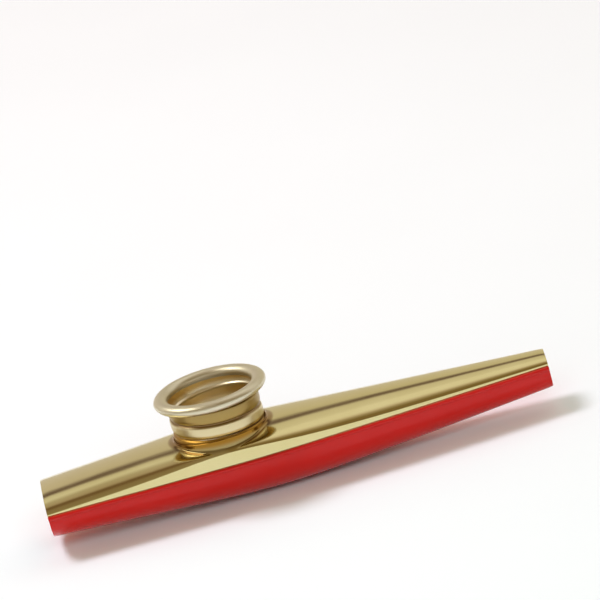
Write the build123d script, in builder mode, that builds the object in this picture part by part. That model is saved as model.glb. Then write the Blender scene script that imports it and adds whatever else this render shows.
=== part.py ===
from build123d import *
import math
import os

# Kazoo: a pressed body in two halves, folded together along a hemmed seam, with a screw ring over a membrane.
# Millimetres, +X from the mouth end to the exit end, +Z up through the turret.
# The origin lies under the middle of the length, at the lowest point of the belly.

# Body: lengths along X, measured from the mouth end
body_length = 120.0
turret_from_mouth = 43.5
belly_from_mouth = 55.0

# Body: half widths at the seam, and how softly the two tapers meet at the widest place
mouth_half_width = 11.6
turret_half_width = 11.95
exit_half_width = 5.1
width_rounding = 25.0

# Body: depths of the lower half below the seam
mouth_depth = 7.45
belly_depth = 10.65
exit_depth = 6.0
depth_rounding = 12.0

# Body: heights of the upper half's crown above the seam
mouth_crown = 3.85
turret_crown = 6.1
exit_crown = 2.65
crown_rounding = 14.0

# Body: upright side wall of the upper half, which swells up round the turret
plain_wall = 0.7
turret_wall = 3.6
wall_spread = 20.0

# Body: pressed sheet and the folded seam
sheet = 0.3
hem_reach = 1.0
hem_round = 0.2
hem_lip_gap = 0.2
hem_fold_gap = 0.05

# Collar drawn up round the turret hole
collar_height = 7.2
collar_edge = 0.35
collar_flare = 1.7
collar_arch = 9.0

# Screw ring: heights are above the seam
ring_top = 16.85
ring_sheet = 0.4
ring_skirt_radius = 10.8
rim_overhang = 2.55
rim_height = 2.6
rim_curl_gap = 0.3
foot_wall = 0.2

# Socket under the collar, with the ledge for the membrane
thread_clearance = 0.08
socket_wall = 0.32
ledge_height = 2.5
ledge_thickness = 0.4
ledge_width = 1.5

# Membrane and its holder
film_thickness = 0.1
holder_thickness = 0.5
holder_clearance = 0.25
hub_height = 1.0
hub_wall = 0.6
hub_clearance = 0.1

# Cuts run this far past the faces that they cut
overrun = 2.0
station_count = 13

# Places and sizes worked out from the sizes above
seam_z = belly_depth
mouth_x = -body_length / 2
turret_x = mouth_x + turret_from_mouth
socket_bore = ring_skirt_radius + thread_clearance
socket_radius = socket_bore + socket_wall
film_z = seam_z + ledge_height
holder_z = film_z + film_thickness
foot_z = holder_z + holder_thickness
ring_top_z = seam_z + ring_top
collar_top_z = seam_z + collar_height
ring_bore = ring_skirt_radius - ring_sheet
rim_radius = ring_skirt_radius + rim_overhang
rim_width = rim_radius - ring_bore
foot_bore = ring_skirt_radius - foot_wall
foot_height = hub_height + hub_clearance
holder_radius = socket_bore - holder_clearance
hub_radius = foot_bore - hub_clearance
turret_axis = Axis((turret_x, 0, 0), (0, 0, 1))
stations = [body_length * i / (station_count - 1) for i in range(station_count)]


def taper(place, at_mouth, at_peak, at_exit, peak, rounding):
    """Size at a place: two straight tapers that meet in a rounded peak."""
    end, at_end = (peak, at_mouth) if place < peak else (body_length - peak, at_exit)
    fall = math.hypot(place - peak, rounding) - rounding
    return at_peak + (at_end - at_peak) * fall / (math.hypot(end, rounding) - rounding)


def half_width(place):
    ends = mouth_half_width, turret_half_width, exit_half_width
    return taper(place, *ends, turret_from_mouth, width_rounding)


def depth(place):
    return taper(place, mouth_depth, belly_depth, exit_depth, belly_from_mouth, depth_rounding)


def crown(place):
    return taper(place, mouth_crown, turret_crown, exit_crown, turret_from_mouth, crown_rounding)


def wall(place):
    return plain_wall + (turret_wall - plain_wall) / (1 + ((place - turret_from_mouth) / wall_spread) ** 2)


def arch(plane, half, wall_top, top, bottom):
    """Section of the upper half: upright walls under half an ellipse."""
    wall_z = seam_z + wall_top
    with BuildSketch(plane) as section:
        with BuildLine():
            EllipticalCenterArc((0, wall_z), half, top - wall_top, arc_size=180)
            Polyline((-half, wall_z), (-half, seam_z - bottom), (half, seam_z - bottom), (half, wall_z))
        make_face()
    return section.sketch


def trough(plane, half, bottom):
    """Section of the lower half: half an ellipse under the seam."""
    with BuildSketch(plane) as section:
        with BuildLine():
            EllipticalCenterArc((0, seam_z), half, bottom, start_angle=180, arc_size=180)
            Line((half, seam_z), (-half, seam_z))
        make_face()
    return section.sketch


def side_strips(height, inner, outer):
    """Strips along both sides at a height, from one distance outside the wall to another."""
    with BuildSketch(Plane.XY.offset(height)) as strips:
        with BuildLine():
            near = Spline([(mouth_x + s, half_width(s) + inner) for s in stations])
            far = Spline([(mouth_x + s, half_width(s) + outer) for s in stations])
            Line(near @ 0, far @ 0)
            Line(near @ 1, far @ 1)
        make_face()
        mirror(about=Plane.XZ)
    return strips.sketch


def section_plane(place, run):
    """Plane of a section, with the two end sections moved out by a run."""
    return Plane.YZ.offset(mouth_x + place + run * ((place == stations[-1]) - (place == stations[0])))


# Outside of the upper half, and the space under it
with BuildPart() as upper_form:
    loft([arch(section_plane(s, 0), half_width(s), wall(s), crown(s), 0) for s in stations])

with BuildPart() as upper_space:
    loft(
        [
            arch(section_plane(s, overrun), half_width(s) - sheet, wall(s), crown(s) - sheet, overrun)
            for s in stations
        ]
    )

# Flared collar, kept within an arch that stands on the body's own side walls
with BuildPart() as collar:
    with BuildSketch(Plane.XZ):
        flare_z = collar_top_z - collar_edge
        edge_x = turret_x + socket_bore + sheet
        with BuildLine():
            Line((edge_x, collar_top_z), (edge_x, flare_z))
            RadiusArc((edge_x, flare_z), (edge_x + collar_flare, flare_z - collar_flare), -collar_flare)
            Polyline(
                (edge_x + collar_flare, flare_z - collar_flare),
                (edge_x + collar_flare, seam_z + plain_wall),
                (turret_x, seam_z + plain_wall),
                (turret_x, collar_top_z),
                (edge_x, collar_top_z),
            )
        make_face()
    revolve(axis=turret_axis)
    extrude(
        arch(Plane.YZ.offset(turret_x), turret_half_width, turret_wall, turret_wall + collar_arch, 0),
        amount=edge_x + collar_flare - turret_x,
        both=True,
        mode=Mode.INTERSECT,
    )

with BuildPart() as upper_shell:
    add(upper_form.part)
    add(collar.part)
    add(upper_space.part, mode=Mode.SUBTRACT)
    with BuildSketch(Plane.XY.offset(seam_z)):
        with Locations((turret_x, 0)):
            Circle(socket_bore)
    extrude(amount=collar_height + overrun, mode=Mode.SUBTRACT)
    extrude(side_strips(seam_z, -sheet / 2, hem_reach - sheet - hem_fold_gap), amount=sheet)
upper_shell.part.label = "upper_shell"

# Folded edge of the lower half: a flange, an outer fold and a lip over the upper half's flange
with BuildPart() as hem:
    extrude(side_strips(seam_z - sheet, -sheet / 2, hem_reach), amount=3 * sheet)
    extrude(side_strips(seam_z, -sheet, hem_reach - sheet), amount=sheet, mode=Mode.SUBTRACT)
    extrude(side_strips(seam_z + sheet, -sheet, hem_lip_gap), amount=sheet, mode=Mode.SUBTRACT)
    outer_edges = hem.edges().filter_by(
        lambda e: e.length > body_length / 2
        and abs(e.position_at(0.5).Y) > half_width(e.position_at(0.5).X - mouth_x) + hem_reach - sheet / 2
    )
    fillet(outer_edges, hem_round)

with BuildPart() as lower_shell:
    loft([trough(section_plane(s, 0), half_width(s), depth(s)) for s in stations])
    loft(
        [trough(section_plane(s, overrun), half_width(s) - sheet, depth(s) - sheet) for s in stations],
        mode=Mode.SUBTRACT,
    )
    add(hem.part)
lower_shell.part.label = "lower_shell"

# Socket: a cup wall up to the underside of the crown, with a ledge at its foot
with BuildPart() as turret_socket:
    with BuildSketch(Plane.XY.offset(film_z - ledge_thickness)):
        with Locations((turret_x, 0)):
            Circle(socket_radius)
            Circle(socket_bore - ledge_width, mode=Mode.SUBTRACT)
    extrude(amount=ledge_thickness)
    with BuildSketch(Plane.XY.offset(film_z)):
        with Locations((turret_x, 0)):
            Circle(socket_radius)
            Circle(socket_bore, mode=Mode.SUBTRACT)
    extrude(amount=collar_height - ledge_height)
    add(upper_space.part, mode=Mode.INTERSECT)
turret_socket.part.label = "turret_socket"

# Screw ring: a skirt under a rim that is curled outwards, with a thinner foot round the holder's hub
with BuildPart() as screw_ring:
    rim_z = ring_top_z - rim_height / 2
    with BuildSketch(Plane.XZ):
        with Locations((turret_x + rim_radius - rim_width / 2, rim_z)):
            SlotOverall(rim_width, rim_height)
            SlotOverall(rim_width - 2 * ring_sheet, rim_height - 2 * ring_sheet, mode=Mode.SUBTRACT)
        with Locations((turret_x + ring_skirt_radius, ring_top_z - rim_height)):
            Rectangle(rim_curl_gap, rim_height / 2, align=(Align.MIN, Align.MIN), mode=Mode.SUBTRACT)
        with Locations((turret_x + ring_bore, foot_z + foot_height)):
            Rectangle(ring_sheet, rim_z - foot_z - foot_height, align=(Align.MIN, Align.MIN))
        with Locations((turret_x + foot_bore, foot_z)):
            Rectangle(foot_wall, foot_height, align=(Align.MIN, Align.MIN))
    revolve(axis=turret_axis)
screw_ring.part.label = "screw_ring"

# Membrane holder: a flat flange on the film and a hub inside the foot of the screw ring
with BuildPart() as membrane_holder:
    with BuildSketch(Plane.XY.offset(holder_z)):
        with Locations((turret_x, 0)):
            Circle(holder_radius)
            Circle(hub_radius - hub_wall, mode=Mode.SUBTRACT)
    extrude(amount=holder_thickness)
    with BuildSketch(Plane.XY.offset(foot_z)):
        with Locations((turret_x, 0)):
            Circle(hub_radius)
            Circle(hub_radius - hub_wall, mode=Mode.SUBTRACT)
    extrude(amount=hub_height)
membrane_holder.part.label = "membrane_holder"

with BuildPart() as membrane:
    with BuildSketch(Plane.XY.offset(film_z)):
        with Locations((turret_x, 0)):
            Circle(holder_radius)
    extrude(amount=film_thickness)
membrane.part.label = "membrane"

os.makedirs("parts", exist_ok=True)
for piece in (upper_shell, lower_shell, turret_socket, screw_ring, membrane_holder, membrane):
    export_step(piece.part, f"parts/{piece.part.label}.step")
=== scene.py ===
import math

import bpy
from mathutils import Matrix, Vector


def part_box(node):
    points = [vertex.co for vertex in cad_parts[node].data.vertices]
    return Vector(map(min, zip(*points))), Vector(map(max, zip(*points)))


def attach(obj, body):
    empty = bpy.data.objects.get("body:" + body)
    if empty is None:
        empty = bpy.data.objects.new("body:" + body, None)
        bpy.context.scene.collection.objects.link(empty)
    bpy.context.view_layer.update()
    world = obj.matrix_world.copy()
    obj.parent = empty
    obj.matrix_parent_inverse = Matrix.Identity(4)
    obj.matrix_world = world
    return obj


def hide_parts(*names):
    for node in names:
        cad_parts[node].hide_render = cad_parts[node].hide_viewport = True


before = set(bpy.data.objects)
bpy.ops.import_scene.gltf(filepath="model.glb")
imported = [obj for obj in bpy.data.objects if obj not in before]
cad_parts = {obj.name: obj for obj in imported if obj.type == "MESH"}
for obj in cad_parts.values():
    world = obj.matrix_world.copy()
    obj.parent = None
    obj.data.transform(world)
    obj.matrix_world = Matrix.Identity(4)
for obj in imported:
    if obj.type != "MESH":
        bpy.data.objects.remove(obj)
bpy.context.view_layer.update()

# Kazoo: a pressed body in two halves with a hemmed seam, and a threaded ring that holds the membrane.
# Metres, +X from the mouth end to the exit end, +Z up through the turret.

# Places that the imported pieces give
shell_low, shell_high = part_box("lower_shell")
collar_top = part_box("upper_shell")[1].z
ring_low, ring_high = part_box("screw_ring")
film_low, film_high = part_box("membrane")
holder_low, holder_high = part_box("membrane_holder")
mouth_x = shell_low.x
body_length = shell_high.x - shell_low.x
turret_x = (ring_low.x + ring_high.x) / 2
turret_place = turret_x - mouth_x

# Body: half widths, depths and crowns, each with how softly its two tapers meet
belly_place = 0.055
mouth_half_width = 0.0116
turret_half_width = 0.01195
exit_half_width = 0.0051
width_rounding = 0.025
mouth_depth = 0.00745
belly_depth = 0.01065
exit_depth = 0.006
depth_rounding = 0.012
mouth_crown = 0.00385
turret_crown = 0.0061
exit_crown = 0.00265
crown_rounding = 0.014

# Body: upright side wall, which swells up round the turret and runs out lower towards the mouth
plain_wall = 0.0007
turret_wall = 0.0036
wall_spread = 0.020
mouth_wall_drop = 0.0004
mouth_drop_power = 3

# Pressed sheet, its folded seam and its eased ends
sheet = 0.0003
hem_reach = 0.001
hem_lip_gap = 0.0002
hem_radius = 1.5 * sheet
flange_reach = 0.00065
flange_bend = 0.00033
trough_bend = 0.0003
end_roll_length = 0.0009
end_roll_depth = 0.00008
edge_round = 0.00006
seam_z = shell_high.z - 2 * sheet

# Collar round the turret hole: sizes along and across the body,
# and powers that say how late each changes over from one to the other
collar_radius = 0.01118
collar_dip_along = 0.0008
collar_dip_across = 0.0002
collar_dip_power = 2
collar_edge_along = 0.0003
collar_edge_across = 0.00146
collar_edge_power = 4

# Flare from the collar down to the body
flare_foot = 0.01135
flare_spread_along = 0.0009
flare_along_power = 6
flare_spread_across = 0.0008
flare_across_power = 10
flare_handle_share = 0.56
flare_handle_power = 4
shoulder_round = 0.00015
shoulder_passes = 4
least_across = 0.1
slope_step = 0.00001

# Screw ring
rim_radius = (ring_high.y - ring_low.y) / 2
rim_height = 0.0026
rim_low = ring_high.z - rim_height
rim_inside = 0.00035
ring_sheet = 0.0004
skirt_radius = 0.0108
bore_radius = skirt_radius - ring_sheet
curl_gap = 0.0003
curl_gap_depth = 0.0009
foot_height = 0.0011
foot_wall = 0.0002
foot_top = ring_low.z + foot_height

# Rolled thread: places of the crease and of the painted highlight band in the bore are in turns above
# the groove
thread_pitch = 0.0035
thread_place = 0.02142
thread_front = 0.75
thread_fade = 0.0009
rim_fade = thread_fade / 3
groove_depth = 0.0005
groove_sharpness = 8
crease_depth = 0.00008
crease_place = 0.2
crease_sharpness = 10
ridge_highlight_place = 0.16
ridge_highlight_sharpness = 2.5

# Membrane and holder
hub_wall = 0.0006
holder_thickness = 0.0005
hub_radius = 0.0105
holder_round = 0.00012
wrinkle_height = 0.00002
wrinkle_count = 23
wrinkle_sway = 3
wrinkle_twist = 5
clamp_steepness = 6

# Meshes: rows and columns, how they are spread, and angles in degrees
crown_rows = 44
crown_crowding = 1.4
wall_rows = 6
bend_rows = 5
fold_rows = 10
upper_rows = crown_rows + wall_rows + bend_rows + 1
lower_rows = crown_rows + bend_rows + fold_rows + 1
turret_columns = 108
flare_rows = 20
patch_rows = 20
patch_wall_rows = 3
side_row = crown_rows + patch_wall_rows
patch_reach = 0.0175
column_length = 0.0009
ring_steps = 192
ring_rows = 130
bead_rows = 36
holder_steps = 160
film_rings = 24
film_spokes = 184
meeting_distance = 1e-7
smooth_angle = 40
ring_smooth_angle = 50
sharp_angle = 60
corner_handle = 0.5523


def taper(place, at_mouth, at_peak, at_exit, peak, rounding):
    """Size at a place: two straight tapers that meet in a rounded peak."""
    end, at_end = (peak, at_mouth) if place < peak else (body_length - peak, at_exit)
    fall = math.hypot(place - peak, rounding) - rounding
    return at_peak + (at_end - at_peak) * fall / (math.hypot(end, rounding) - rounding)


def end_roll(place):
    """How far the sheet is turned in close to either cut end."""
    share = 1 - min(place, body_length - place) / end_roll_length
    return end_roll_depth * max(share, 0) ** 2


def half_width(place):
    sizes = mouth_half_width, turret_half_width, exit_half_width
    return taper(place, *sizes, turret_place, width_rounding) - end_roll(place)


def depth(place):
    sizes = mouth_depth, belly_depth, exit_depth
    return taper(place, *sizes, belly_place, depth_rounding) - end_roll(place)


def crown(place):
    sizes = mouth_crown, turret_crown, exit_crown
    return taper(place, *sizes, turret_place, crown_rounding) - end_roll(place)


def wall(place):
    swell = (turret_wall - plain_wall) / (1 + ((place - turret_place) / wall_spread) ** 2)
    towards_mouth = max(1 - place / turret_place, 0)
    return plain_wall + swell - mouth_wall_drop * towards_mouth**mouth_drop_power


def between(a, b, share):
    return a + (b - a) * share


def bezier(points, share):
    """Point on a curve with these handles."""
    while len(points) > 1:
        points = [a.lerp(b, share) for a, b in zip(points, points[1:])]
    return points[0]


def quarter_turn(start, corner, end, share):
    """Point on a rounded corner."""
    handles = [start, start.lerp(corner, corner_handle), end.lerp(corner, corner_handle), end]
    return bezier(handles, share)


def upper_side(place, row):
    """Half section of the upper shell: (reach, height) of a row, from the crown out to the flange."""
    half, peak, wall_top = half_width(place), seam_z + crown(place), seam_z + wall(place)
    flange_z = seam_z + sheet
    bend_z = flange_z + flange_bend
    if row <= crown_rows:
        turn = math.pi / 2 * (1 - (1 - row / crown_rows) ** crown_crowding)
        return Vector((half * math.sin(turn), wall_top + (peak - wall_top) * math.cos(turn)))
    row -= crown_rows
    if row <= wall_rows:
        return Vector((half, between(wall_top, bend_z, row / wall_rows)))
    row -= wall_rows
    if row <= bend_rows:
        foot = Vector((half + flange_bend, flange_z))
        return quarter_turn(Vector((half, bend_z)), Vector((half, flange_z)), foot, row / bend_rows)
    return Vector((half + flange_reach, flange_z))


def upper_point(place, row):
    """Point on the upper shell. Rows below zero lie on the front side, those above on the back."""
    whole = min(int(abs(row)), upper_rows - 1)
    reach, height = upper_side(place, whole).lerp(upper_side(place, whole + 1), abs(row) - whole)
    if abs(row) < crown_rows:
        reach, height = upper_side(place, abs(row))
    return Vector((mouth_x + place, math.copysign(reach, row), height))


def lower_side(place, row):
    """Half section of the lower shell: (reach, height) of a row, from the keel round the folded hem."""
    half, low = half_width(place), depth(place)
    flange_z = seam_z - sheet
    if row <= crown_rows:
        end = math.acos((sheet + trough_bend) / low)
        turn = end * row / crown_rows
        return Vector((half * math.sin(turn), seam_z - low * math.cos(turn)))
    row -= crown_rows
    if row <= bend_rows:
        start = lower_side(place, crown_rows)
        foot = Vector((half + trough_bend, flange_z))
        return quarter_turn(start, Vector((half, flange_z)), foot, row / bend_rows)
    row -= bend_rows
    if row <= fold_rows:
        turn = math.pi * row / fold_rows
        middle = half + hem_reach - hem_radius
        height = flange_z + hem_radius - hem_radius * math.cos(turn)
        return Vector((middle + hem_radius * math.sin(turn), height))
    return Vector((half + hem_lip_gap, flange_z + 2 * hem_radius))


def lower_point(place, row):
    reach, height = lower_side(place, abs(row))
    return Vector((mouth_x + place, math.copysign(reach, row), height))


def select(*pieces):
    """Selects these pieces and no others, and makes the first one active."""
    bpy.ops.object.select_all(action="DESELECT")
    for piece in pieces:
        piece.select_set(True)
    if pieces:
        bpy.context.view_layer.objects.active = pieces[0]


def edit_all(piece):
    """Opens a piece for editing, with all of it selected."""
    select(piece)
    bpy.ops.object.mode_set(mode="EDIT")
    bpy.ops.mesh.select_all(action="SELECT")


def laid_grid(name, columns, rows, point, finish=None):
    """A grid of faces whose corners are laid on a surface: point(column, row) gives each place."""
    select()
    bpy.ops.mesh.primitive_grid_add(x_subdivisions=columns, y_subdivisions=rows, size=2)
    piece = bpy.context.object
    piece.name = name
    if finish:
        for face in piece.data.polygons:
            face.material_index = finish(int((face.center.y + 1) / 2 * rows))
    for vertex in piece.data.vertices:
        column = round((vertex.co.x + 1) / 2 * columns)
        row = round((vertex.co.y + 1) / 2 * rows)
        vertex.co = point(column, row)
    return piece


def joined(name, pieces):
    select(*pieces)
    bpy.ops.object.join()
    piece = bpy.context.object
    piece.name = name
    return piece


def close_seams(piece):
    """Merges points that meet and turns all faces outwards."""
    edit_all(piece)
    bpy.ops.mesh.remove_doubles(threshold=meeting_distance)
    bpy.ops.mesh.normals_make_consistent(inside=False)
    bpy.ops.object.mode_set(mode="OBJECT")


def apply_modifier(piece, kind, **settings):
    modifier = piece.modifiers.new(kind.lower(), kind)
    for key, value in settings.items():
        setattr(modifier, key, value)
    bpy.context.view_layer.objects.active = piece
    bpy.ops.object.modifier_apply(modifier=modifier.name)


def smooth(piece, degrees=smooth_angle):
    select(piece)
    bpy.ops.object.shade_smooth_by_angle(angle=math.radians(degrees))


def ease_edges(piece, width, segments):
    """Bevels the sharp edges and shades the rest smooth."""
    limit = math.radians(sharp_angle)
    apply_modifier(
        piece, "BEVEL", width=width, segments=segments, limit_method="ANGLE", angle_limit=limit
    )
    smooth(piece)


def face_up(piece, point, direction):
    """Turns all faces over if the face nearest to a point looks away from a direction."""
    nearest = min(piece.data.polygons, key=lambda face: (face.center - point).length)
    if nearest.normal.dot(direction) < 0:
        edit_all(piece)
        bpy.ops.mesh.flip_normals()
        bpy.ops.object.mode_set(mode="OBJECT")


def finish_with(piece, finishes):
    for finish in finishes:
        piece.data.materials.append(finish)


def sheet_metal(piece):
    """Gives a skin the sheet's thickness on its inner side, and eases the cut edges."""
    apply_modifier(
        piece, "SOLIDIFY", thickness=sheet, offset=-1, use_even_offset=True, material_offset=1
    )
    ease_edges(piece, edge_round, segments=1)


def flare_profile(turn):
    """The collar's outside at one angle.

    Gives the points from its edge down to the body, and the place and row of its foot there.
    """
    across, along = abs(math.sin(turn)), math.cos(turn)

    def body_at(reach):
        place = turret_place + reach * along
        side = min(reach * across / half_width(place), 1)
        top = (crown(place) - wall(place)) * math.sqrt(1 - side**2)
        return Vector((reach, seam_z + wall(place) + top))

    along_spread = flare_spread_along * along**flare_along_power
    across_spread = flare_spread_across * across**flare_across_power
    free_reach = flare_foot + along_spread + across_spread
    reach = free_reach
    for _ in range(shoulder_passes):
        edge_reach = half_width(turret_place + reach * along) / max(across, least_across)
        apart = math.hypot(free_reach - edge_reach, shoulder_round)
        reach = (free_reach + edge_reach - apart) / 2
    foot = body_at(reach)
    place = turret_place + reach * along
    side = reach * across / half_width(place)
    slope = (foot - body_at(reach - slope_step)).normalized()
    row = crown_rows * (1 - (1 - math.asin(side) / (math.pi / 2)) ** (1 / crown_crowding))
    dip = between(collar_dip_along, collar_dip_across, across**collar_dip_power)
    upright = between(collar_edge_along, collar_edge_across, across**collar_edge_power)
    edge = Vector((collar_radius, collar_top - dip))
    start = edge - Vector((0, upright))
    rise, run = start.y - foot.y, foot.x - start.x
    handles = [
        start,
        start - Vector((0, rise * flare_handle_share)),
        foot - slope * flare_handle_share * between(run, rise, slope.y**flare_handle_power),
        foot,
    ]
    outline = [edge] + [bezier(handles, i / flare_rows) for i in range(flare_rows + 1)]
    points = [Vector((turret_x + p.x * along, p.x * math.sin(turn), p.y)) for p in outline]
    return points, place, math.copysign(row, math.sin(turn))


def turret_patch():
    """The middle of the upper shell: rings of faces from the collar's edge to a four-sided border."""
    border = []
    for sign in (1, -1):
        for i in range(2 * side_row):
            border.append((sign * patch_reach, sign * (i - side_row)))
        for i in range(turret_columns):
            run = between(patch_reach, -patch_reach, i / turret_columns)
            border.append((sign * run, sign * side_row))
    rays = []
    for run, row in border:
        turn = math.atan2(row / side_row * turret_half_width, run)
        rays.append((flare_profile(turn), turret_place + run, row))

    def point(column, row):
        (outline, foot_place, foot_row), place, border_row = rays[column % len(rays)]
        if row < len(outline):
            return outline[row]
        share = (row - len(outline) + 1) / patch_rows
        return upper_point(between(foot_place, place, share), between(foot_row, border_row, share))

    return laid_grid("turret_patch", len(border), flare_rows + 1 + patch_rows, point)


def upper_wing(name, start, end):
    """Part of the upper shell from one place to another, from flange to flange."""
    columns = round((end - start) / column_length)

    def point(column, row):
        return upper_point(between(start, end, column / columns), row - upper_rows)

    return laid_grid(name, columns, 2 * upper_rows, point)


def turret_side(name, sign):
    """Strip of the upper shell below the turret's patch, on the front or the back side."""

    def point(column, row):
        run = between(patch_reach, -patch_reach, column / turret_columns)
        return upper_point(turret_place + run, sign * (side_row + row))

    return laid_grid(name, turret_columns, upper_rows - side_row, point)


def make_upper_shell(finishes):
    parts = [
        turret_patch(),
        upper_wing("mouth_wing", 0, turret_place - patch_reach),
        upper_wing("exit_wing", turret_place + patch_reach, body_length),
        turret_side("front_side", -1),
        turret_side("back_side", 1),
    ]
    shell = joined("pressed_upper_shell", parts)
    close_seams(shell)
    finish_with(shell, finishes)
    face_up(shell, Vector((0, 0, collar_top)), Vector((0, 0, 1)))
    sheet_metal(shell)
    return shell


def make_lower_shell(finishes):
    columns = round(body_length / column_length)

    def point(column, row):
        return lower_point(body_length * column / columns, row - lower_rows)

    shell = laid_grid("pressed_lower_shell", columns, 2 * lower_rows, point)
    close_seams(shell)
    finish_with(shell, finishes)
    face_up(shell, Vector((0, 0, 0)), Vector((0, 0, -1)))
    sheet_metal(shell)
    return shell


def ease(value, low, high):
    """Smooth step from 0 at one value to 1 at another."""
    share = min(max((value - low) / (high - low), 0), 1)
    return (3 - 2 * share) * share**2


def wave(turns, sharpness):
    """Row of rounded crests, one at each whole turn."""
    return ((1 + math.cos(2 * math.pi * turns)) / 2) ** sharpness


def winding(height, turn):
    """Turns of the thread above its groove at the front, for angles counted from the back."""
    return (height - thread_place) / thread_pitch + turn / (2 * math.pi) - thread_front


def thread_cut(height, turn):
    """Depth of the rolled thread: a round groove and a fine crease that wind up the skirt."""
    fade = ease(height, foot_top, foot_top + thread_fade) * ease(rim_low - height, 0, rim_fade)
    turns_up = winding(height, turn)
    groove = groove_depth * wave(turns_up, groove_sharpness)
    crease = crease_depth * wave(turns_up - crease_place, crease_sharpness)
    return fade * (groove + crease)


def ring_profile(turn):
    """Closed section of the screw ring at one angle, as (radius, height) points."""
    rim_z = ring_high.z - rim_height / 2
    half_rim = (rim_radius - bore_radius + rim_inside) / 2
    bead = rim_radius - half_rim
    curl_end = skirt_radius + curl_gap
    gap_top = rim_low + curl_gap_depth
    points = []
    for i in range(ring_rows + 1):
        z = between(ring_low.z, gap_top, i / ring_rows)
        points.append((skirt_radius - thread_cut(z, turn), z))
    points.append((curl_end, gap_top))
    first = -math.acos((curl_end - bead) / half_rim)
    last = 2 * math.pi - math.acos((bore_radius - bead) / half_rim)
    for i in range(bead_rows + 1):
        swing = between(first, last, i / bead_rows)
        z = rim_z + rim_height / 2 * math.sin(swing)
        points.append((bead + half_rim * math.cos(swing), z))
    bore_top = points[-1][1]
    for i in range(1, ring_rows + 1):
        z = between(bore_top, foot_top, i / ring_rows)
        points.append((bore_radius - thread_cut(z, turn), z))
    points.append((skirt_radius - foot_wall, foot_top))
    points.append((skirt_radius - foot_wall, ring_low.z))
    return points


def make_ring(finishes):
    """The ring, with two values on its points for the materials: turns up the thread and the share of
    the painted highlight band in the bore.
    """
    turns = [math.pi / 2 + 2 * math.pi * i / ring_steps for i in range(ring_steps)]
    profiles = [ring_profile(turn) for turn in turns]
    count = len(profiles[0])
    rim_start = ring_rows
    bore_start = ring_rows + bead_rows + 2

    def point(column, row):
        radius, height = profiles[column % ring_steps][row % count]
        turn = turns[column % ring_steps]
        return Vector((turret_x + radius * math.cos(turn), radius * math.sin(turn), height))

    def finish(row):
        return (row >= rim_start) + (row >= bore_start)

    ring = laid_grid("threaded_ring", ring_steps, count, point, finish)
    close_seams(ring)
    finish_with(ring, finishes)
    ring.data.attributes.new("winding", "FLOAT", "POINT")
    ring.data.attributes.new("ridge_highlight", "FLOAT", "POINT")
    for vertex in ring.data.vertices:
        turn = math.atan2(vertex.co.y, vertex.co.x - turret_x)
        from_back = (turn - math.pi / 2) % (2 * math.pi) + math.pi / 2
        turns_up = winding(vertex.co.z, from_back)
        highlight_share = wave(turns_up - ridge_highlight_place, ridge_highlight_sharpness)
        ring.data.attributes["winding"].data[vertex.index].value = turns_up
        ring.data.attributes["ridge_highlight"].data[vertex.index].value = highlight_share
    smooth(ring, ring_smooth_angle)
    return ring


def turned_piece(name, outline, steps):
    """A closed outline of (radius, height) points, spun about the turret's axis."""
    select()
    bpy.ops.mesh.primitive_circle_add(vertices=len(outline), radius=1)
    piece = bpy.context.object
    piece.name = name
    for vertex, (radius, height) in zip(piece.data.vertices, outline):
        vertex.co = (turret_x + radius, 0, height)
    edit_all(piece)
    bpy.ops.mesh.spin(steps=steps, angle=2 * math.pi, center=(turret_x, 0, 0), axis=(0, 0, 1))
    bpy.ops.object.mode_set(mode="OBJECT")
    close_seams(piece)
    return piece


def make_holder(finishes):
    outer = (holder_high.x - holder_low.x) / 2
    inner = hub_radius - hub_wall
    step = holder_low.z + holder_thickness
    outline = [
        (inner, holder_low.z),
        (outer, holder_low.z),
        (outer, step),
        (hub_radius, step),
        (hub_radius, holder_high.z),
        (inner, holder_high.z),
    ]
    holder = turned_piece("fibre_holder", outline, holder_steps)
    finish_with(holder, finishes)
    ease_edges(holder, holder_round, segments=3)
    return holder


def make_film(finishes):
    """The stretched film: faint wrinkles run in from its clamped edge and die out inwards."""
    radius = (film_high.x - film_low.x) / 2
    middle = (film_low.z + film_high.z) / 2

    def point(column, row):
        turn = 2 * math.pi * (column % film_spokes) / film_spokes
        reach = radius * row / film_rings
        share = row / film_rings
        clamp = min((1 - share) * clamp_steepness, 1)
        sway = wrinkle_sway * math.sin(2 * turn)
        ripple = math.sin(wrinkle_count * turn + sway + wrinkle_twist * share)
        height = middle + wrinkle_height * share**2 * clamp * ripple
        return Vector((turret_x + reach * math.cos(turn), reach * math.sin(turn), height))

    film = laid_grid("stretched_film", film_spokes, film_rings, point)
    close_seams(film)
    finish_with(film, finishes)
    face_up(film, Vector((turret_x, 0, film_high.z)), Vector((0, 0, 1)))
    apply_modifier(film, "SOLIDIFY", thickness=(film_high.z - film_low.z) / 2, offset=0)
    smooth(film)
    return film


# Materials: marks of handling, with stretches along X, Y and Z
smudge_detail = 6
smudge_roughness = 0.6
rubbing_stretch = (120, 5200, 5200)
rubbing_detail = 3
rubbing_share = 0.35
rubbing_relief = 0.01
wave_stretch = (90, 260, 260)
wave_detail = 1
marks_range = (0.32, 0.68)
relief_depth = 0.00002

# Materials: where the noise turns from a finish's first tone to its second
tone_stops = (0.35, 0.65)
tone_detail = 4

# Painted shade in the flare below the ring: distances out from the collar over which it sets in,
# and a squeeze along the body
collar_shade_out = (0.0011, 0.0002)
collar_shade_squeeze = 0.955

# Painted shade tones, a dimmer gold lower down and a dark orange close under the ring,
# each with the drops below the collar's top over which it sets in
collar_shade_tones = (
    ((0.0034, 0.0022), (0.36, 0.28, 0.12)),
    ((0.0022, 0.0008), (0.31, 0.155, 0.022)),
)

# Painted shade under the rim, by height above its lowest place
rim_shade_rise = (0.0006, 0.0002)
rim_underside_shade = (0.35, 0.22, 0.05)

# Painted highlight: pale bands along the bore's thread
bore_highlight_gold = (0.97, 0.93, 0.76)
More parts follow.
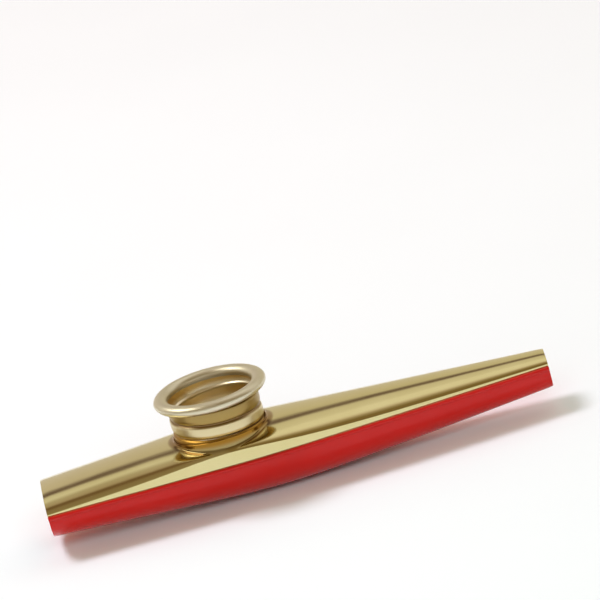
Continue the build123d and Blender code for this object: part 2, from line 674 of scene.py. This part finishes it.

# Painted light and shade along the thread, by turns above the groove at the front:
# gap in shade, lip as a highlight, crease in shade, land, groove in shade and neck shaded under the rim
thread_light_and_shade = (
    (-1.1, (0.40, 0.22, 0.04)),
    (-0.96, (0.40, 0.22, 0.04)),
    (-0.92, (0.80, 0.74, 0.55)),
    (-0.86, (0.80, 0.74, 0.55)),
    (-0.80, (0.52, 0.36, 0.12)),
    (-0.70, (0.52, 0.36, 0.12)),
    (-0.62, (0.72, 0.62, 0.37)),
    (-0.10, (0.70, 0.60, 0.36)),
    (-0.02, (0.30, 0.20, 0.09)),
    (0.07, (0.30, 0.20, 0.09)),
    (0.15, (0.40, 0.28, 0.09)),
    (0.9, (0.36, 0.25, 0.09)),
)
thread_drift_scale = 260
thread_drift = 0.1

# Towards the back the thread's painted light and shade run out into one plain gold
painted_bands_fade = (0.004, 0.0096)
plain_back_gold = (0.52, 0.40, 0.18)


def new_material(name, metallic=0):
    material = bpy.data.materials.new(name)
    material.use_nodes = True
    nodes = material.node_tree.nodes
    shader = nodes["Principled BSDF"]
    shader.inputs["Metallic"].default_value = metallic
    return material, nodes, material.node_tree.links, shader


def stretched_noise(nodes, links, place, stretch, detail):
    """Noise over the piece's own coordinates, with its own fineness along each axis."""
    mapping = nodes.new("ShaderNodeMapping")
    mapping.inputs["Scale"].default_value = stretch
    links.new(place.outputs["Object"], mapping.inputs["Vector"])
    noise = nodes.new("ShaderNodeTexNoise")
    noise.inputs["Scale"].default_value = 1
    noise.inputs["Detail"].default_value = detail
    links.new(mapping.outputs["Vector"], noise.inputs["Vector"])
    return noise.outputs["Fac"]


def share_added(nodes, links, value, share, base):
    """A share of one value on top of another."""
    total = nodes.new("ShaderNodeMath")
    total.operation = "MULTIPLY_ADD"
    total.inputs[1].default_value = share
    links.new(value, total.inputs[0])
    links.new(base, total.inputs[2])
    return total.outputs["Value"]


def polish_marks():
    """Shared finish of handled metal: smudges, shallow waves in the sheet and fine rubbing along it."""
    group = bpy.data.node_groups.new("polish_marks", "ShaderNodeTree")
    face = group.interface
    for name, value in (("Smudge Size", 60.0), ("Low Roughness", 0.05), ("High Roughness", 0.15)):
        socket = face.new_socket(name, in_out="INPUT", socket_type="NodeSocketFloat")
        socket.default_value = value
    for name in ("Roughness", "Height"):
        face.new_socket(name, in_out="OUTPUT", socket_type="NodeSocketFloat")
    nodes, links = group.nodes, group.links
    inputs, outputs = nodes.new("NodeGroupInput"), nodes.new("NodeGroupOutput")
    place = nodes.new("ShaderNodeTexCoord")
    smudge = nodes.new("ShaderNodeTexNoise")
    smudge.inputs["Detail"].default_value = smudge_detail
    smudge.inputs["Roughness"].default_value = smudge_roughness
    links.new(place.outputs["Object"], smudge.inputs["Vector"])
    links.new(inputs.outputs["Smudge Size"], smudge.inputs["Scale"])
    rubbing = stretched_noise(nodes, links, place, rubbing_stretch, rubbing_detail)
    waves = stretched_noise(nodes, links, place, wave_stretch, wave_detail)
    blend = nodes.new("ShaderNodeMix")
    blend.inputs["Factor"].default_value = rubbing_share
    links.new(smudge.outputs["Fac"], blend.inputs["A"])
    links.new(rubbing, blend.inputs["B"])
    spread = nodes.new("ShaderNodeMapRange")
    spread.inputs["From Min"].default_value, spread.inputs["From Max"].default_value = marks_range
    links.new(blend.outputs["Result"], spread.inputs["Value"])
    links.new(inputs.outputs["Low Roughness"], spread.inputs["To Min"])
    links.new(inputs.outputs["High Roughness"], spread.inputs["To Max"])
    links.new(spread.outputs["Result"], outputs.inputs["Roughness"])
    relief = share_added(nodes, links, rubbing, rubbing_relief, waves)
    links.new(relief, outputs.inputs["Height"])
    return group


def place_marks(nodes, links, shader, marks, size, low, high):
    """Lays the shared marks on a material, with a roughness from low to high."""
    group = nodes.new("ShaderNodeGroup")
    group.node_tree = marks
    group.inputs["Smudge Size"].default_value = size
    group.inputs["Low Roughness"].default_value = low
    group.inputs["High Roughness"].default_value = high
    relief = nodes.new("ShaderNodeBump")
    relief.inputs["Strength"].default_value = 1
    relief.inputs["Distance"].default_value = relief_depth
    links.new(group.outputs["Roughness"], shader.inputs["Roughness"])
    links.new(group.outputs["Height"], relief.inputs["Height"])
    links.new(relief.outputs["Normal"], shader.inputs["Normal"])


def two_tones(nodes, links, shader, first, second, scale):
    """Base colour that drifts between two tones over the surface."""
    place = nodes.new("ShaderNodeTexCoord")
    drift = nodes.new("ShaderNodeTexNoise")
    drift.inputs["Scale"].default_value = scale
    drift.inputs["Detail"].default_value = tone_detail
    tones = nodes.new("ShaderNodeValToRGB")
    for stop, position, tone in zip(tones.color_ramp.elements, tone_stops, (first, second)):
        stop.position = position
        stop.color = (*tone, 1)
    links.new(place.outputs["Object"], drift.inputs["Vector"])
    links.new(drift.outputs["Fac"], tones.inputs["Fac"])
    links.new(tones.outputs["Color"], shader.inputs["Base Color"])
    return tones.outputs["Color"]


def own_coordinate(nodes, links, axis):
    """One of the piece's own coordinates."""
    place = nodes.new("ShaderNodeTexCoord")
    split = nodes.new("ShaderNodeSeparateXYZ")
    links.new(place.outputs["Object"], split.inputs["Vector"])
    return split.outputs[axis]


def turret_reach(nodes, links, squeeze):
    """Distance from the turret's axis, squeezed along the body."""
    place = nodes.new("ShaderNodeTexCoord")
    shift = nodes.new("ShaderNodeMapping")
    shift.inputs["Scale"].default_value = (squeeze, 1, 0)
    shift.inputs["Location"].default_value = (-turret_x * squeeze, 0, 0)
    links.new(place.outputs["Object"], shift.inputs["Vector"])
    reach = nodes.new("ShaderNodeVectorMath")
    reach.operation = "LENGTH"
    links.new(shift.outputs["Vector"], reach.inputs[0])
    return reach.outputs["Value"]


def soft_step(nodes, links, value, low, high):
    """Smooth mask from 0 at one value to 1 at another."""
    step = nodes.new("ShaderNodeMapRange")
    step.interpolation_type = "SMOOTHSTEP"
    step.inputs["From Min"].default_value = low
    step.inputs["From Max"].default_value = high
    links.new(value, step.inputs["Value"])
    return step.outputs["Result"]


def times(nodes, links, first, second):
    product = nodes.new("ShaderNodeMath")
    product.operation = "MULTIPLY"
    links.new(first, product.inputs[0])
    links.new(second, product.inputs[1])
    return product.outputs["Value"]


def lay_painted_tone(nodes, links, shader, under, mask, painted_tone):
    """Lays a second colour over the base colour where a mask is high: here painted shade, painted
    highlights and the plain gold where they run out.
    """
    paint = nodes.new("ShaderNodeMix")
    paint.data_type = "RGBA"
    paint.inputs["B"].default_value = (*painted_tone, 1)
    links.new(mask, paint.inputs["Factor"])
    links.new(under, paint.inputs["A"])
    links.new(paint.outputs["Result"], shader.inputs["Base Color"])
    return paint.outputs["Result"]


def lay_stops(stops, tones):
    """Puts (value, colour) pairs on a colour ramp, over the range of their values."""
    low, high = tones[0][0], tones[-1][0]
    while len(stops) < len(tones):
        stops.new(0.5)
    for stop, (value, colour) in zip(stops, tones):
        stop.position = (value - low) / (high - low)
        stop.color = (*colour, 1)


def polished_gold(marks):
    material, nodes, links, shader = new_material("polished_gold_plate", metallic=1)
    under = two_tones(nodes, links, shader, (0.68, 0.60, 0.295), (0.71, 0.63, 0.325), scale=90)
    reach = turret_reach(nodes, links, collar_shade_squeeze)
    height = own_coordinate(nodes, links, "Z")
    near = soft_step(nodes, links, reach, *(collar_radius + out for out in collar_shade_out))
    # Painted shade in the flare: darker towards the collar, round the ring's foot
    for drops, tone in collar_shade_tones:
        high = soft_step(nodes, links, height, *(collar_top - drop for drop in drops))
        under = lay_painted_tone(nodes, links, shader, under, times(nodes, links, near, high), tone)
    place_marks(nodes, links, shader, marks, size=70, low=0.07, high=0.14)
    return material


def red_lacquer(marks):
    material, nodes, links, shader = new_material("red_lacquer")
    two_tones(nodes, links, shader, (0.52, 0.007, 0.005), (0.56, 0.009, 0.007), scale=60)
    place_marks(nodes, links, shader, marks, size=80, low=0.18, high=0.30)
    shader.inputs["Specular IOR Level"].default_value = 0
    shader.inputs["Coat Weight"].default_value = 1
    shader.inputs["Coat Roughness"].default_value = 0.05
    shader.inputs["Coat IOR"].default_value = 1.36
    return material


def inner_plate(marks):
    material, nodes, links, shader = new_material("bare_inner_plate", metallic=1)
    two_tones(nodes, links, shader, (0.60, 0.50, 0.27), (0.66, 0.57, 0.34), scale=110)
    place_marks(nodes, links, shader, marks, size=90, low=0.22, high=0.42)
    return material


def thread_gold(marks):
    """Gold of the rolled thread: painted shade, deep in the groove and on the neck under the rim, and
    painted highlight, pale on the land below.
    """
    material, nodes, links, shader = new_material("thread_gold", metallic=1)
    turns_up = nodes.new("ShaderNodeAttribute")
    turns_up.attribute_name = "winding"
    drift = nodes.new("ShaderNodeTexNoise")
    drift.inputs["Scale"].default_value = thread_drift_scale
    place = nodes.new("ShaderNodeTexCoord")
    links.new(place.outputs["Object"], drift.inputs["Vector"])
    uneven = share_added(nodes, links, drift.outputs["Fac"], thread_drift, turns_up.outputs["Fac"])
    spread = nodes.new("ShaderNodeMapRange")
    spread.inputs["From Min"].default_value = thread_light_and_shade[0][0]
    spread.inputs["From Max"].default_value = thread_light_and_shade[-1][0]
    links.new(uneven, spread.inputs["Value"])
    ramp = nodes.new("ShaderNodeValToRGB")
    lay_stops(ramp.color_ramp.elements, thread_light_and_shade)
    links.new(spread.outputs["Result"], ramp.inputs["Fac"])
    # Towards the back the painted bands give way to one plain gold
    behind = soft_step(nodes, links, own_coordinate(nodes, links, "Y"), *painted_bands_fade)
    lay_painted_tone(nodes, links, shader, ramp.outputs["Color"], behind, plain_back_gold)
    place_marks(nodes, links, shader, marks, size=120, low=0.26, high=0.38)
    return material


def rim_satin(marks):
    material, nodes, links, shader = new_material("rim_satin", metallic=1)
    tones = two_tones(nodes, links, shader, (0.70, 0.65, 0.48), (0.75, 0.70, 0.54), scale=120)
    height = own_coordinate(nodes, links, "Z")
    # Painted shade on the rim's underside
    under = soft_step(nodes, links, height, *(rim_low + rise for rise in rim_shade_rise))
    lay_painted_tone(nodes, links, shader, tones, under, rim_underside_shade)
    place_marks(nodes, links, shader, marks, size=120, low=0.34, high=0.46)
    return material


def bore_gold(marks):
    material, nodes, links, shader = new_material("bore_gold", metallic=1)
    # The bore's own gold, made a deeper orange than the skirt's to paint in the warm shade inside it
    tones = two_tones(nodes, links, shader, (0.80, 0.60, 0.24), (0.86, 0.66, 0.30), scale=120)
    # Painted highlight bands along the bore's thread
    ridge_highlight = nodes.new("ShaderNodeAttribute")
    ridge_highlight.attribute_name = "ridge_highlight"
    lay_painted_tone(nodes, links, shader, tones, ridge_highlight.outputs["Fac"], bore_highlight_gold)
    place_marks(nodes, links, shader, marks, size=120, low=0.3, high=0.42)
    return material


def fibre_board():
    material, nodes, links, shader = new_material("fibre_board")
    two_tones(nodes, links, shader, (0.42, 0.30, 0.18), (0.58, 0.45, 0.30), scale=2200)
    shader.inputs["Roughness"].default_value = 0.8
    return material


def waxed_film():
    material, nodes, links, shader = new_material("waxed_film")
    two_tones(nodes, links, shader, (0.82, 0.82, 0.76), (0.90, 0.90, 0.86), scale=400)
    shader.inputs["Roughness"].default_value = 0.22
    shader.inputs["Transmission Weight"].default_value = 0.55
    shader.inputs["IOR"].default_value = 1.45
    return material


def pale_floor():
    material, nodes, links, shader = new_material("pale_floor")
    two_tones(nodes, links, shader, (0.95, 0.95, 0.95), (0.97, 0.97, 0.97), scale=6)
    shader.inputs["Roughness"].default_value = 0.9
    shader.inputs["Specular IOR Level"].default_value = 0.1
    return material


def dress(piece, body, node):
    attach(piece, body)
    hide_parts(node)


marks = polish_marks()
gold, red, inside = polished_gold(marks), red_lacquer(marks), inner_plate(marks)
ring_finishes = [thread_gold(marks), rim_satin(marks), bore_gold(marks)]

dress(make_upper_shell([gold, inside]), "body", "upper_shell")
dress(make_lower_shell([red, inside]), "body", "lower_shell")
dress(make_ring(ring_finishes), "ring", "screw_ring")
dress(make_holder([fibre_board()]), "membrane_pack", "membrane_holder")
dress(make_film([waxed_film()]), "membrane_pack", "membrane")
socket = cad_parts["turret_socket"]
socket.data.materials.clear()
socket.data.materials.append(inside)

# Floor, light and camera: the sensor is in millimetres
floor_size = 8
view_tilt = math.radians(18.5)
picture_roll = math.radians(15.8)
camera_distance = 2.0
picture_width = 0.1382
picture_right = 0.00108
picture_up = 0.02993
sensor_width = 36

select()
bpy.ops.mesh.primitive_plane_add(size=floor_size)
floor = bpy.context.object
floor.name = "floor"
floor.data.materials.append(pale_floor())


def panel_light(name, place, size, radiance, tint, glossy=True, diffuse=True):
    """A soft panel of a given brightness, turned to the origin, which the camera doesn't see."""
    width, height = size
    data = bpy.data.lights.new(name, "AREA")
    data.shape = "RECTANGLE"
    data.size = width
    data.size_y = height
    data.energy = radiance * math.pi * width * height
    data.color = tint
    lamp = bpy.data.objects.new(name, data)
    bpy.context.scene.collection.objects.link(lamp)
    lamp.location = place
    lamp.rotation_euler = (-Vector(place)).to_track_quat("-Z", "Y").to_euler()
    lamp.visible_camera = False
    lamp.visible_glossy = glossy
    lamp.visible_diffuse = diffuse


panel_light(
    "key_panel", (-0.5, 0.3, 1.2), size=(0.45, 0.45), radiance=14.6, tint=(1.0, 1.0, 1.15), glossy=False
)
panel_light(
    "rim_spark", (-0.9, 0.15, 1.2), size=(0.8, 0.8), radiance=4.0, tint=(1.0, 1.0, 0.95), diffuse=False
)
panel_light(
    "front_fill", (0.1, -1.3, 0.9), size=(1.2, 0.6), radiance=4.0, tint=(0.6, 1.0, 1.05), glossy=False
)

# Brightness of the room by angle, up from the front horizon, over the top and down to the back horizon:
# as seen towards the exit end and towards the mouth end
room_right = (
    (0, (0.95, 0.95, 0.93)),
    (20, (0.95, 0.95, 0.93)),
    (24, (0.26, 0.18, 0.08)),
    (66, (0.26, 0.18, 0.08)),
    (84, (0.45, 0.36, 0.25)),
    (92, (0.63, 0.54, 0.455)),
    (99, (0.83, 0.75, 0.68)),
    (107, (0.95, 0.90, 0.84)),
    (122, (0.95, 0.90, 0.84)),
    (128, (0.84, 0.79, 0.71)),
    (141, (0.75, 0.69, 0.58)),
    (144.5, (0.2, 0.14, 0.12)),
    (148.5, (0.2, 0.14, 0.12)),
    (153, (0.70, 0.63, 0.47)),
    (180, (0.71, 0.63, 0.48)),
)
room_left = (
    (0, (0.95, 0.95, 0.93)),
    (10, (0.75, 0.70, 0.62)),
    (24, (0.34, 0.27, 0.17)),
    (82, (0.30, 0.22, 0.13)),
    (99, (0.20, 0.12, 0.06)),
    (106, (0.20, 0.12, 0.06)),
    (116, (0.50, 0.40, 0.31)),
    (127, (0.55, 0.48, 0.39)),
    (134, (0.84, 0.79, 0.71)),
    (141, (0.75, 0.69, 0.58)),
    (144.5, (0.2, 0.14, 0.12)),
    (148.5, (0.2, 0.14, 0.12)),
    (153, (0.68, 0.60, 0.51)),
    (180, (0.69, 0.61, 0.53)),
)

# The direction's X over which the left of the room turns into the right
room_change = (-0.1, 0.08)


def studio_world():
    world = bpy.data.worlds.new("studio")
    world.use_nodes = True
    nodes, links = world.node_tree.nodes, world.node_tree.links
    place = nodes.new("ShaderNodeTexCoord")
    split = nodes.new("ShaderNodeSeparateXYZ")
    links.new(place.outputs["Generated"], split.inputs["Vector"])
    front = nodes.new("ShaderNodeMath")
    front.operation = "MULTIPLY"
    front.inputs[1].default_value = -1
    links.new(split.outputs["Y"], front.inputs[0])
    angle = nodes.new("ShaderNodeMath")
    angle.operation = "ARCTAN2"
    links.new(split.outputs["Z"], angle.inputs[0])
    links.new(front.outputs["Value"], angle.inputs[1])
    share = nodes.new("ShaderNodeMath")
    share.operation = "DIVIDE"
    share.inputs[1].default_value = math.pi
    links.new(angle.outputs["Value"], share.inputs[0])
    blend = nodes.new("ShaderNodeMix")
    blend.data_type = "RGBA"
    links.new(soft_step(nodes, links, split.outputs["X"], *room_change), blend.inputs["Factor"])
    for room, side in ((room_left, "A"), (room_right, "B")):
        ramp = nodes.new("ShaderNodeValToRGB")
        lay_stops(ramp.color_ramp.elements, room)
        links.new(share.outputs["Value"], ramp.inputs["Fac"])
        links.new(ramp.outputs["Color"], blend.inputs[side])
    links.new(blend.outputs["Result"], nodes["Background"].inputs["Color"])
    return world


bpy.context.scene.world = studio_world()

across = Vector((1, 0, 0))
look = Vector((0, math.cos(view_tilt), -math.sin(view_tilt)))
rise = Vector((0, math.sin(view_tilt), math.cos(view_tilt)))
right = across * math.cos(picture_roll) - rise * math.sin(picture_roll)
up = across * math.sin(picture_roll) + rise * math.cos(picture_roll)
middle = Vector((0, 0, shell_high.z)) + right * picture_right + up * picture_up
camera_data = bpy.data.cameras.new("camera")
camera_data.sensor_width = sensor_width
camera_data.lens = sensor_width * camera_distance / picture_width
camera = bpy.data.objects.new("camera", camera_data)
bpy.context.scene.collection.objects.link(camera)
facing = Matrix((right, up, -look)).transposed().to_4x4()
camera.matrix_world = Matrix.Translation(middle - look * camera_distance) @ facing
bpy.context.scene.camera = camera
bpy.context.scene.view_settings.view_transform = "Standard"
